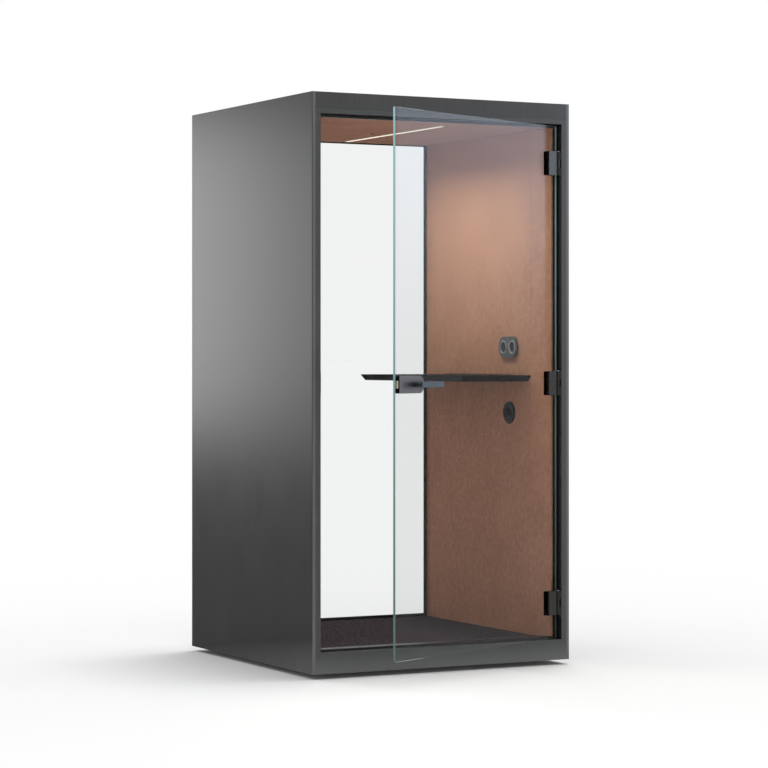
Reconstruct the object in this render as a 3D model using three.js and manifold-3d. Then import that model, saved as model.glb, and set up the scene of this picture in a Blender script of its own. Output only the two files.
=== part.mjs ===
// Acoustic office pod: a one-person booth with a hinged glass door, a glass rear wall and felt lining.
// Millimetres, +Z up. The origin is on the floor under the middle of the pod, and the door side faces -Y.
import * as THREE from 'three';
import { mergeVertices } from 'three/addons/utils/BufferGeometryUtils.js';
import Module from 'manifold-3d';

const wasm = await Module();
wasm.setup();

// Overall size
const podWidth = 1150;
const podDepth = 1150;
const podHeight = 2250;

// Clearances
const fitGap = 0.3; // between pieces that seat in or on each other
const softGap = 0.5; // round carpet and felt
const edgeGap = 3; // from the rear pane to the frame round it
const overcut = 3; // how far a cutting body runs past the face it opens

// Outer shell
const sidePanelThickness = 13;
const panelEdgeRadius = 3;
const roofThickness = 15;
const fasciaThickness = 13;
const fasciaHeight = 63;

// Feet and floor
const footHeight = 20;
const footPadRadius = 30;
const footPadHeight = 5;
const footNeckRadius = 10;
const footNeckBase = 10;
const footInset = 200; // from the pod's sides to the middle of a corner foot
const deckThickness = 74;
const carpetThickness = 12;
const thresholdWidth = 50;
const thresholdThickness = 3;
const thresholdBevel = 2;

// Door frame: a rebated profile round the doorway
const jambFaceWidth = 23;
const headFaceHeight = 19;
const sillHeight = 82;
const frameDepth = 50;
const rebateDepth = 34;
const stopWidth = 12;
const sillStopHeight = 6;
const sealThickness = 2.8;
const sealMargin = 1;

// Rear frame: a thin flange towards the cabin, with the pane bonded behind it, and a leg outside the pane
const rearFrameDepth = 80;
const rearFlangeThickness = 5;
const rearJambFlange = 72;
const rearJambLeg = 17;
const rearHeadFlange = 99;
const rearHeadLeg = 85;
const rearSillFlange = 84;
const rearSillLeg = 70;
const rearPaneThickness = 10;

// Side walls, from the cabin outwards: felt, core, outer panel
const wallThickness = 72;
const feltThickness = 12;
const frontStripLength = 134;
const frontStripFlare = 14; // how far the front strip opens outwards at the door
const feltEdgeRadius = 2;

// Ceiling with its light line, sensor and air slots
const ceilingThickness = 14;
const lightOffset = 99; // from the pod's middle towards the table
const lightFrontInset = 172;
const lightRearInset = 95;
const channelWidth = 30;
const channelWall = 2;
const channelCap = 6; // thickness of the closed ends
const channelHeight = 22;
const channelFlange = 7;
const flangeThickness = 3;
const diffuserThickness = 3;
const diffuserRecess = 1;
const sensorRadius = 8;
const sensorCrownRadius = 5;
const sensorDome = 4;
const sensorRim = 1.5;
const sensorStemRadius = 5;
const sensorSetback = 37; // behind the middle of the pod
const slotCount = 7;
const slotWidth = 8;
const slotPitch = 15;

// Fan and power supply in the roof space
const fanSideInset = 287; // from the shell's inside to the fan's middle
const fanRearInset = 350; // from the back of the pod
const fanSize = 120;
const fanDepth = 25;
const fanCornerRadius = 8;
const fanBoreRadius = 57;
const fanBladeRadius = 54;
const fanHubRadius = 21;
const fanHubHeight = 16;
const fanBladeCount = 7;
const fanBladeChord = 24;
const fanBladeThickness = 2;
const fanBladePitch = THREE.MathUtils.degToRad(36);
const fanStrutWidth = 6;
const fanStrutHeight = 3;
const fanStrutCount = 4;
const fanPinRadius = 3;
const fanPinCap = 3; // hub material over the pin's end
const fanScrewInset = 7.5;
const fanScrewRadius = 2.2;
const fanRunningGap = 2;
const supplySideInset = 262;
const supplyRearInset = 425;
const supplyLength = 200;
const supplyWidth = 70;
const supplyHeight = 36;
const supplyFlange = 14;
const supplyFlangeThickness = 3;
const supplyCorner = 6;

// Glass door
const doorOpenAngle = THREE.MathUtils.degToRad(24.8);
const paneThickness = 10;
const paneSetback = 20; // from the front of the frame to the face of the closed pane
const paneTopGap = 7.6;
const paneBottomGap = 2.4;
const paneLatchGap = 4;
const paneHingeGap = 6;
const paneCornerRadius = 3;

// Hinges: a leaf on the jamb, a pin, and a clamp with its knuckle on the pane
const pivotInset = 12; // from the reveal to the hinge axis
const pivotSetback = 8; // from the front of the frame to the hinge axis
const hingeHeight = 96;
const topHingeInset = 150;
const bottomHingeInset = 144;
const barrelRadius = 7.5;
const knuckleShare = 3; // the middle one of so many equal knuckles turns with the door
const knuckleGap = 0.5;
const leafThickness = 3.5;
const leafDepth = 27.5;
const leafWebDepth = 11.5;
const clampReach = 65; // from the hinge axis to the clamp's far end
const clampNearGap = 1.5; // from the barrel to the clamp's near end
const clampThickness = 12.7;
const clampPlateThickness = 6;
const clampEdgeRadius = 2;
const pinRadius = 3;
const pinHeadRadius = 5.5;
const pinHeadHeight = 2.5;
const pinHeadBevel = 1;

// Flush screws: a fine groove round each head and a hexagon in it
const screwHeadRadius = 4.2;
const screwGroove = 0.5;
const hexagonRadius = 2.3;
const hexagonDepth = 1.5;
const hexagonSides = 6;
const clampScrewSpacing = 56;
const plateScrewInset = 12; // from the ends of the lock's back plate
const strikeScrewSpacing = 66;

// Lock with its latch and levers
const lockHeight = 1132; // above the floor
const caseLength = 150;
const caseHeight = 66;
const caseThickness = 19;
const caseRoundRadius = 25;
const caseEdgeRadius = 3;
const backPlateInset = 12;
const backPlateLength = 126;
const backPlateHeight = 56;
const backPlateThickness = 4;
const backPlateRadius = 6;
const boltHeight = 28;
const boltThickness = 12;
const boltLength = 60;
const boltThrow = 12;
const boltNose = 9;
const boltTip = 4;
const spindleBackset = 92;
const spindleSize = 8;
const spindleGrip = 21; // length held in each lever
const spindleHoleRadius = 7;
const paneHoleRadius = 11;
const leverReach = 45;
const leverLength = 125;
const leverHeight = 22;
const leverThickness = 10;
const leverTipRadius = 3;
const neckRadius = 10;
const strikeThickness = 2;
const strikeHeight = 90;
const strikeWidth = 22;
const strikeSetback = 2;
const strikeRadius = 3;
const strikePlay = 1;
const strikePocketDepth = 10;

// Table with its concealed bracket
const tableHeight = 1160;
const tableThickness = 25;
const tableReach = 326;
const tableNose = 3;
const tableRearGap = 10;
const bracketThickness = 5;
const bracketHeight = 50;
const rodRadius = 7;
const rodLength = 180;
const rodInset = 150;

// Socket and port in the wall by the table
const outletSetback = 172; // from the table's front edge to the middle of socket and port
const socketRise = 115; // above the table's top
const socketPlateLength = 145;
const socketPlateHeight = 86;
const socketPlateThickness = 10;
const socketPlateRadius = 41;
const socketSpacing = 71;
const socketRadius = 27.5;
const socketRecessRadius = 22;
const socketRecessDepth = 17;
const socketFaceRecess = 1;
const contactRadius = 2.5;
const contactSpacing = 19;
const contactDepth = 9;
const carrierLength = 130;
const carrierHeight = 58;
const carrierRadius = 28;
const carrierThickness = 6;
const carrierSetback = 14; // from the felt's face to the front of the carrier
const portDrop = 155; // below the table's top
const portFlangeRadius = 46;
const portFlangeThickness = 6;
const portBoreRadius = 22.5;
const portSleeveRadius = 29;
const portSleeveLength = 26;
const portPocketDepth = 35;

// Steps of round stretches
const arcSteps = 4;
const roundSteps = 24;
const smallSteps = 12;

// Planes and edges that several pieces share
const halfWidth = podWidth / 2;
const front = -podDepth / 2;
const back = podDepth / 2;
const shellInner = halfWidth - sidePanelThickness;
const frameBack = front + frameDepth;
const stopFace = front + rebateDepth;
const reveal = shellInner - jambFaceWidth;
const stopEdge = reveal - stopWidth;
const headReveal = podHeight - fasciaHeight - headFaceHeight;
const headTop = headReveal + headFaceHeight;
const cabinTop = headReveal - stopWidth;
const ceilingTop = cabinTop + ceilingThickness;
const roofUnder = podHeight - roofThickness;
const sillTop = footHeight + sillHeight;
const sillStopTop = sillTop + sillStopHeight;
const deckTop = footHeight + deckThickness;
const carpetTop = deckTop + carpetThickness;
const rearFrameFront = back - rearFrameDepth;
const rearFlangeBack = rearFrameFront + rearFlangeThickness;
const feltFace = halfWidth - wallThickness;
const feltBack = feltFace + feltThickness;
const stripFace = feltFace + frontStripFlare;
const stripBack = stripFace + feltThickness;
const stripEnd = frameBack + frontStripLength;
const pivotX = reveal - pivotInset;
const pivotY = front + pivotSetback;
const fanX = -shellInner + fanSideInset;
const fanY = back - fanRearInset;
const supplyX = shellInner - supplySideInset;
const supplyY = back - supplyRearInset;
const outletY = stripEnd + outletSetback;
const socketZ = tableHeight + socketRise;
const portZ = tableHeight - portDrop;
const tableUnder = tableHeight - tableThickness;
const tableBack = rearFrameFront - tableRearGap;
const tableEdge = feltFace - tableReach;

const finishes = {
  panelPaint: { color: 0x5f6061, roughness: 0.42, metalness: 0.35 },
  framePaint: { color: 0x4d5053, roughness: 0.45, metalness: 0.35 },
  blackFrame: { color: 0x202326, roughness: 0.5, metalness: 0.3 },
  rubber: { color: 0x111213, roughness: 0.8, metalness: 0 },
  glass: { color: 0xdfeceb, roughness: 0.03, metalness: 0, transparent: true, opacity: 0.25 },
  felt: { color: 0xa57f6a, roughness: 0.95, metalness: 0 },
  wool: { color: 0x8f8a80, roughness: 1, metalness: 0 },
  carpet: { color: 0x3b383c, roughness: 1, metalness: 0 },
  board: { color: 0x4a4a4a, roughness: 0.8, metalness: 0 },
  aluminium: { color: 0x9b9da0, roughness: 0.4, metalness: 0.9 },
  diffuser: { color: 0xfff3dc, roughness: 0.5, metalness: 0, emissive: 0xfff0d2 },
  hingeMetal: { color: 0x46505a, roughness: 0.4, metalness: 0.7 },
  lockMetal: { color: 0x66666a, roughness: 0.4, metalness: 0.6 },
  leverMetal: { color: 0x5f6b75, roughness: 0.35, metalness: 0.7 },
  steel: { color: 0xb9b4aa, roughness: 0.3, metalness: 0.9 },
  blackLaminate: { color: 0x1c1c1e, roughness: 0.45, metalness: 0 },
  greyPlastic: { color: 0x55585b, roughness: 0.55, metalness: 0 },
  blackPlastic: { color: 0x1a1b1d, roughness: 0.5, metalness: 0 },
};

const pod = new THREE.Group();
pod.name = 'acoustic_office_pod';

function addPart(group, name, finish, geometry) {
  const mesh = new THREE.Mesh(geometry, new THREE.MeshStandardMaterial(finishes[finish]));
  mesh.name = name;
  group.add(mesh);
}

// A closed mesh as a solid for cutting and joining, with shared corners merged.
function toSolid(geometry) {
  const bare = new THREE.BufferGeometry();
  bare.setAttribute('position', geometry.getAttribute('position'));
  bare.setIndex(geometry.getIndex());
  const merged = mergeVertices(bare);
  const corners = merged.getIndex().array;
  const triVerts = [];
  for (let i = 0; i < corners.length; i += 3) {
    const [a, b, c] = corners.slice(i, i + 3);
    if (a !== b && b !== c && c !== a) triVerts.push(a, b, c);
  }
  const mesh = new wasm.Mesh({
    numProp: 3,
    vertProperties: merged.getAttribute('position').array,
    triVerts: new Uint32Array(triVerts),
  });
  return new wasm.Manifold(mesh);
}

function toGeometry(solid) {
  const mesh = solid.getMesh();
  const geometry = new THREE.BufferGeometry();
  geometry.setAttribute('position', new THREE.BufferAttribute(new Float32Array(mesh.vertProperties), 3));
  geometry.setIndex(new THREE.BufferAttribute(new Uint32Array(mesh.triVerts), 1));
  return geometry;
}

function cut(body, ...tools) {
  const solid = tools.reduce((rest, tool) => rest.subtract(toSolid(tool)), toSolid(body));
  return toGeometry(solid);
}

function join(body, ...others) {
  const solid = others.reduce((whole, other) => whole.add(toSolid(other)), toSolid(body));
  return toGeometry(solid);
}

// A flat outline raised along Z between two levels, which it meets exactly.
function prismZ(outline, low, high) {
  const settings = { depth: 1, bevelEnabled: false, curveSegments: arcSteps };
  const geometry = new THREE.ExtrudeGeometry(outline, settings);
  const position = geometry.getAttribute('position');
  for (let i = 0; i < position.count; i += 1) {
    position.setZ(i, position.getZ(i) > 0.5 ? high : low);
  }
  return geometry;
}

// An outline drawn in Y and Z, carried along X.
function prismX(outline, low, high) {
  const turn = new THREE.Matrix4().makeBasis(
    new THREE.Vector3(0, 1, 0),
    new THREE.Vector3(0, 0, 1),
    new THREE.Vector3(1, 0, 0),
  );
  return prismZ(outline, low, high).applyMatrix4(turn);
}

// An outline drawn in X and Z, carried along Y.
function prismY(outline, low, high) {
  const turn = new THREE.Matrix4().makeBasis(
    new THREE.Vector3(1, 0, 0),
    new THREE.Vector3(0, 0, 1),
    new THREE.Vector3(0, -1, 0),
  );
  return prismZ(outline, -high, -low).applyMatrix4(turn);
}

function polygon(points) {
  return new THREE.Shape(points.map(([x, y]) => new THREE.Vector2(x, y)));
}

function rectangle(x0, x1, y0, y1) {
  return polygon([[x0, y0], [x1, y0], [x1, y1], [x0, y1]]);
}

// A rectangle whose corners have their own radii: low left, low right, high right, high left.
function rounded(x0, x1, y0, y1, radii) {
  const [a, b, c, d] = Array.isArray(radii) ? radii : [radii, radii, radii, radii];
  const shape = new THREE.Shape();
  shape.moveTo(x0 + a, y0);
  shape.lineTo(x1 - b, y0);
  if (b > 0) shape.absarc(x1 - b, y0 + b, b, -Math.PI / 2, 0);
  shape.lineTo(x1, y1 - c);
  if (c > 0) shape.absarc(x1 - c, y1 - c, c, 0, Math.PI / 2);
  shape.lineTo(x0 + d, y1);
  if (d > 0) shape.absarc(x0 + d, y1 - d, d, Math.PI / 2, Math.PI);
  shape.lineTo(x0, y0 + a);
  if (a > 0) shape.absarc(x0 + a, y0 + a, a, Math.PI, Math.PI * 1.5);
  return shape;
}

function block(x0, x1, y0, y1, z0, z1) {
  return prismZ(rectangle(x0, x1, y0, y1), z0, z1);
}

// Round bars along each axis.
function barZ(x, y, radius, z0, z1, steps = roundSteps) {
  const bar = new THREE.CylinderGeometry(radius, radius, z1 - z0, steps);
  return bar.rotateX(Math.PI / 2).translate(x, y, (z0 + z1) / 2);
}

function barX(y, z, radius, x0, x1, steps = roundSteps) {
  const bar = new THREE.CylinderGeometry(radius, radius, x1 - x0, steps);
  return bar.rotateZ(-Math.PI / 2).translate((x0 + x1) / 2, y, z);
}

function barY(x, z, radius, y0, y1, steps = roundSteps) {
  const bar = new THREE.CylinderGeometry(radius, radius, y1 - y0, steps);
  return bar.translate(x, (y0 + y1) / 2, z);
}

// A profile of radius and height turned round the Z axis.
function turned(profile) {
  const points = profile.map(([radius, height]) => new THREE.Vector2(radius, height));
  return new THREE.LatheGeometry(points, roundSteps).rotateX(Math.PI / 2);
}

// What a flush screw takes out of a face at z = 0 that looks along +Z.
function flushScrew() {
  const head = barZ(0, 0, screwHeadRadius, -overcut, 2 * overcut, smallSteps);
  const disc = barZ(0, 0, screwHeadRadius + screwGroove, -screwGroove, overcut, smallSteps);
  const hexagon = barZ(0, 0, hexagonRadius, -hexagonDepth, overcut, hexagonSides);
  return [cut(disc, head), hexagon];
}

// The same on a face that looks along +X or along +Y.
function screwOnX(x, y, z) {
  return flushScrew().map((tool) => tool.rotateY(Math.PI / 2).translate(x, y, z));
}

function screwOnY(x, y, z) {
  return flushScrew().map((tool) => tool.rotateX(-Math.PI / 2).translate(x, y, z));
}

// Outlines for the left side are those of the right side, mirrored.
function mirrored(points) {
  return points.map(([x, y]) => [-x, y]).reverse();
}

function onSide(side, points) {
  return polygon(side > 0 ? points : mirrored(points));
}

const sides = [['left', -1], ['right', 1]];

function buildShell() {
  for (const [name, side] of sides) {
    const r = panelEdgeRadius;
    const radii = side > 0 ? [0, r, r, 0] : [r, 0, 0, r];
    const [x0, x1] = [side * shellInner, side * halfWidth].sort((a, b) => a - b);
    const outline = rounded(x0, x1, front, back, radii);
    addPart(pod, `${name}_side_panel`, 'panelPaint', prismZ(outline, footHeight, podHeight));
  }
  const fasciaBack = front + fasciaThickness;
  const roof = block(-shellInner, shellInner, fasciaBack, rearFrameFront, roofUnder, podHeight);
  addPart(pod, 'roof_panel', 'panelPaint', cut(roof, ...airSlots(roofUnder, podHeight)));
  const fascia = block(-shellInner, shellInner, front, fasciaBack, headTop, podHeight);
  addPart(pod, 'head_fascia', 'panelPaint', fascia);
}

// Slots over and under the fan, as long as its round opening is at each place.
function airSlots(low, high) {
  const slots = [];
  for (let i = 0; i < slotCount; i += 1) {
    const offset = (i - (slotCount - 1) / 2) * slotPitch;
    const half = Math.sqrt(fanBladeRadius ** 2 - offset ** 2);
    const radius = slotWidth / 2;
    const y = fanY + offset;
    const outline = rounded(fanX - half, fanX + half, y - radius, y + radius, radius);
    slots.push(prismZ(outline, low - overcut, high + overcut));
  }
  return slots;
}

function buildFloor() {
  const deck = block(-shellInner, shellInner, frameBack, rearFrameFront, footHeight, deckTop);
  addPart(pod, 'floor_deck', 'board', deck);

  // The carpet follows the front strips, which open outwards towards the door.
  const half = [
    [stripFace - softGap, frameBack + softGap],
    [feltFace - softGap, stripEnd],
    [feltFace - softGap, rearFrameFront - softGap],
  ];
  const outline = polygon([...half, ...mirrored(half)]);
  addPart(pod, 'carpet', 'carpet', prismZ(outline, deckTop, carpetTop));

  const thresholdBack = stopFace + thresholdWidth;
  const thresholdTop = sillStopTop + thresholdThickness;
  const threshold = polygon([
    [stopFace, sillStopTop],
    [thresholdBack, sillStopTop],
    [thresholdBack, thresholdTop - thresholdBevel],
    [thresholdBack - thresholdBevel, thresholdTop],
    [stopFace + thresholdBevel, thresholdTop],
    [stopFace, thresholdTop - thresholdBevel],
  ]);
  const flareThere = ((stripEnd - thresholdBack) / frontStripLength) * frontStripFlare;
  const reach = feltFace + flareThere - softGap;
  addPart(pod, 'threshold_strip', 'aluminium', prismX(threshold, -reach, reach));

  const across = halfWidth - footInset;
  const along = back - footInset;
  const places = {
    front_left: [-across, -along],
    front_right: [across, -along],
    rear_left: [-across, along],
    rear_right: [across, along],
    centre: [0, 0],
  };
  for (const [name, [x, y]] of Object.entries(places)) {
    const foot = turned([
      [0, 0],
      [footPadRadius, 0],
      [footPadRadius, footPadHeight],
      [footNeckRadius, footNeckBase],
      [footNeckRadius, footHeight],
      [0, footHeight],
    ]);
    addPart(pod, `${name}_foot`, 'rubber', foot.translate(x, y, 0));
  }
}

function buildDoorFrame() {
  const head = polygon([
    [front, headReveal],
    [stopFace, headReveal],
    [stopFace, cabinTop],
    [frameBack, cabinTop],
    [frameBack, headTop],
    [front, headTop],
  ]);
  addPart(pod, 'door_frame_head', 'framePaint', prismX(head, -shellInner, shellInner));
  const sill = polygon([
    [front, footHeight],
    [frameBack, footHeight],
    [frameBack, sillStopTop],
    [stopFace, sillStopTop],
    [stopFace, sillTop],
    [front, sillTop],
  ]);
  addPart(pod, 'door_frame_sill', 'framePaint', prismX(sill, -shellInner, shellInner));

  // The jambs stand on the sill, and their stops end above its raised part.
  for (const [name, side] of sides) {
    const post = onSide(side, [
      [reveal, front],
      [shellInner, front],
      [shellInner, frameBack],
      [stopEdge, frameBack],
      [stopEdge, stopFace],
      [reveal, stopFace],
    ]);
    const clearOfStops = block(-shellInner, shellInner, stopFace, frameBack, sillTop, sillStopTop);
    const clearOfHead = block(-shellInner, shellInner, stopFace, frameBack, cabinTop, headReveal);
    const cuts = [clearOfStops, clearOfHead];
    if (side < 0) cuts.push(strikePocket());
    const jamb = cut(prismZ(post, sillTop, headReveal), ...cuts);
    addPart(pod, `door_frame_${name}`, 'framePaint', jamb);
  }

  // One strip runs up the latch side, over the head and down the hinge side, on the face of the stop.
  const outer = reveal - sealMargin;
  const inner = stopEdge + sealMargin;
  const outerTop = headReveal - sealMargin;
  const innerTop = cabinTop + sealMargin;
  const strip = polygon([
    [-outer, sillTop],
    [-inner, sillTop],
    [-inner, innerTop],
    [inner, innerTop],
    [inner, sillTop],
    [outer, sillTop],
    [outer, outerTop],
    [-outer, outerTop],
  ]);
  addPart(pod, 'door_seal', 'rubber', prismY(strip, stopFace - sealThickness, stopFace));
}

// Where the latch bolt stands in the frame when the door is shut.
function boltSpan() {
  const caseBack = front + paneSetback - fitGap;
  const middle = caseBack - caseThickness / 2;
  return {
    low: middle - boltThickness / 2 - strikePlay,
    high: middle + boltThickness / 2 + strikePlay,
    bottom: lockHeight - boltHeight / 2 - strikePlay,
    top: lockHeight + boltHeight / 2 + strikePlay,
  };
}

function strikePocket() {
  const span = boltSpan();
  return block(-reveal - strikePocketDepth, -stopEdge, span.low, span.high, span.bottom, span.top);
}

function buildStrike() {
  const span = boltSpan();
  const y0 = front + strikeSetback;
  const half = strikeHeight / 2;
  const outline = rounded(y0, y0 + strikeWidth, lockHeight - half, lockHeight + half, strikeRadius);
  outline.holes.push(rectangle(span.low, span.high, span.bottom, span.top));
  const face = -reveal + strikeThickness;
  const apart = strikeScrewSpacing / 2;
  const middle = y0 + strikeWidth / 2;
  const screws = [-apart, apart].flatMap((offset) => screwOnX(face, middle, lockHeight + offset));
  addPart(pod, 'strike_plate', 'steel', cut(prismX(outline, -reveal, face), ...screws));
}

function buildRearWall() {
  const opening = shellInner - rearJambFlange;
  const legInner = shellInner - rearJambLeg;
  const sillFlangeTop = footHeight + rearSillFlange;
  const sillLegTop = footHeight + rearSillLeg;
  const headFlangeUnder = podHeight - rearHeadFlange;
  const headLegUnder = podHeight - rearHeadLeg;
  for (const [name, side] of sides) {
    const flange = onSide(side, [
      [opening, rearFrameFront],
      [shellInner, rearFrameFront],
      [shellInner, rearFlangeBack],
      [opening, rearFlangeBack],
    ]);
    const leg = onSide(side, [
      [legInner, rearFlangeBack],
      [shellInner, rearFlangeBack],
      [shellInner, back],
      [legInner, back],
    ]);
    const upright = prismZ(flange, sillFlangeTop, headFlangeUnder);
    const jamb = join(upright, prismZ(leg, sillLegTop, headLegUnder));
    addPart(pod, `rear_frame_${name}`, 'blackFrame', jamb);
  }

  // Head and sill have the same profile, turned towards the pane.
  const angled = (flangeEdge, legEdge, far) => polygon([
    [rearFrameFront, flangeEdge],
    [rearFlangeBack, flangeEdge],
    [rearFlangeBack, legEdge],
    [back, legEdge],
    [back, far],
    [rearFrameFront, far],
  ]);
  const head = angled(headFlangeUnder, headLegUnder, podHeight);
  addPart(pod, 'rear_frame_head', 'blackFrame', prismX(head, -shellInner, shellInner));
  const sill = angled(sillFlangeTop, sillLegTop, footHeight);
  addPart(pod, 'rear_frame_sill', 'blackFrame', prismX(sill, -shellInner, shellInner));

  const paneEdge = legInner - edgeGap;
  const outline = rectangle(-paneEdge, paneEdge, sillLegTop + edgeGap, headLegUnder - edgeGap);
  const paneFace = rearFlangeBack + fitGap;
  addPart(pod, 'rear_glass', 'glass', prismY(outline, paneFace, paneFace + rearPaneThickness));
}

function buildWalls() {
  for (const [name, side] of sides) {
    const coreOutline = onSide(side, [
      [stripBack, frameBack],
      [shellInner, frameBack],
      [shellInner, rearFrameFront],
      [feltBack, rearFrameFront],
      [feltBack, stripEnd],
    ]);
    const core = prismZ(coreOutline, deckTop, cabinTop);
    const [m0, m1] = [side * feltFace, side * feltBack].sort((a, b) => a - b);
    const r = feltEdgeRadius;
    const radii = side > 0 ? [r, 0, 0, r] : [0, r, r, 0];
    const main = prismZ(rounded(m0, m1, stripEnd, rearFrameFront, radii), deckTop, cabinTop);
    const stripOutline = onSide(side, [
      [stripFace, frameBack],
      [stripBack, frameBack],
      [feltBack, stripEnd],
      [feltFace, stripEnd],
    ]);
    const withOutlets = side > 0;
    addPart(pod, `${name}_wall_core`, 'wool', withOutlets ? cut(core, ...corePockets()) : core);
    addPart(pod, `${name}_felt_panel`, 'felt', withOutlets ? cut(main, ...feltHoles()) : main);
    addPart(pod, `${name}_front_felt`, 'felt', prismZ(stripOutline, deckTop, cabinTop));
  }
}

// Places along the table where its bracket's rods stand.
const rodPlaces = [stripEnd + rodInset, tableBack - rodInset];
const rodZ = tableUnder + tableThickness / 2;

function carrierBlock(x0, x1, gap) {
  const halfLength = carrierLength / 2 + gap;
  const halfHeight = carrierHeight / 2 + gap;
  const outline = rounded(
    outletY - halfLength,
    outletY + halfLength,
    socketZ - halfHeight,
    socketZ + halfHeight,
    carrierRadius,
  );
  return prismX(outline, x0, x1);
}

function bracketBlock(gap) {
  const half = bracketHeight / 2 + gap;
  const [y0, y1] = [rodPlaces[0] - bracketHeight / 2 - gap, rodPlaces[1] + bracketHeight / 2 + gap];
  return block(feltBack - gap, feltBack + bracketThickness + gap, y0, y1, rodZ - half, rodZ + half);
}

function corePockets() {
  const carrierBack = feltFace + carrierSetback + carrierThickness + fitGap;
  return [
    carrierBlock(feltBack - overcut, carrierBack, softGap),
    barX(outletY, portZ, portSleeveRadius + softGap, feltBack - overcut, feltBack + portPocketDepth),
    bracketBlock(fitGap),
  ];
}

function feltHoles() {
  const [x0, x1] = [feltFace - overcut, feltBack + overcut];
  return [
    carrierBlock(x0, x1, softGap),
    barX(outletY, portZ, portSleeveRadius + softGap, x0, x1),
    ...rodPlaces.map((y) => barX(y, rodZ, rodRadius + softGap, x0, x1)),
  ];
}

function buildCeiling() {
  const panel = block(-shellInner, shellInner, frameBack, rearFrameFront, cabinTop, ceilingTop);
  const y0 = front + lightFrontInset;
  const y1 = back - lightRearInset;
  const half = channelWidth / 2;
  const above = ceilingTop + overcut;
  const below = cabinTop - overcut;
  const slot = block(
    lightOffset - half - softGap,
    lightOffset + half + softGap,
    y0 - softGap,
    y1 + softGap,
    below,
    above,
  );
  const sensorHole = barZ(0, sensorSetback, sensorStemRadius + softGap, below, above);
  const vents = airSlots(cabinTop, ceilingTop);
  addPart(pod, 'ceiling_panel', 'felt', cut(panel, slot, sensorHole, ...vents));

  // The channel hangs in its slot on two flanges, and is open downwards.
  const channelTop = cabinTop + channelHeight;
  const hull = block(lightOffset - half, lightOffset + half, y0, y1, cabinTop, channelTop);
  const flange = block(
    lightOffset - half - channelFlange,
    lightOffset + half + channelFlange,
    y0,
    y1,
    ceilingTop,
    ceilingTop + flangeThickness,
  );
  const inside = half - channelWall;
  const trough = block(
    lightOffset - inside,
    lightOffset + inside,
    y0 + channelCap,
    y1 - channelCap,
    below,
    channelTop - channelWall,
  );
  addPart(pod, 'light_channel', 'aluminium', cut(join(hull, flange), trough));
  const lens = inside - fitGap;
  const lensLow = cabinTop + diffuserRecess;
  const diffuser = block(
    lightOffset - lens,
    lightOffset + lens,
    y0 + channelCap + fitGap,
    y1 - channelCap - fitGap,
    lensLow,
    lensLow + diffuserThickness,
  );
  addPart(pod, 'light_diffuser', 'diffuser', diffuser);

  const rim = cabinTop - fitGap;
  const sensor = turned([
    [0, rim - sensorDome],
    [sensorCrownRadius, rim - sensorDome],
    [sensorRadius, rim - sensorRim],
    [sensorRadius, rim],
    [sensorStemRadius, rim],
    [sensorStemRadius, ceilingTop],
    [0, ceilingTop],
  ]);
  addPart(pod, 'ceiling_sensor', 'blackPlastic', sensor.translate(0, sensorSetback, 0));
}

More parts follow.
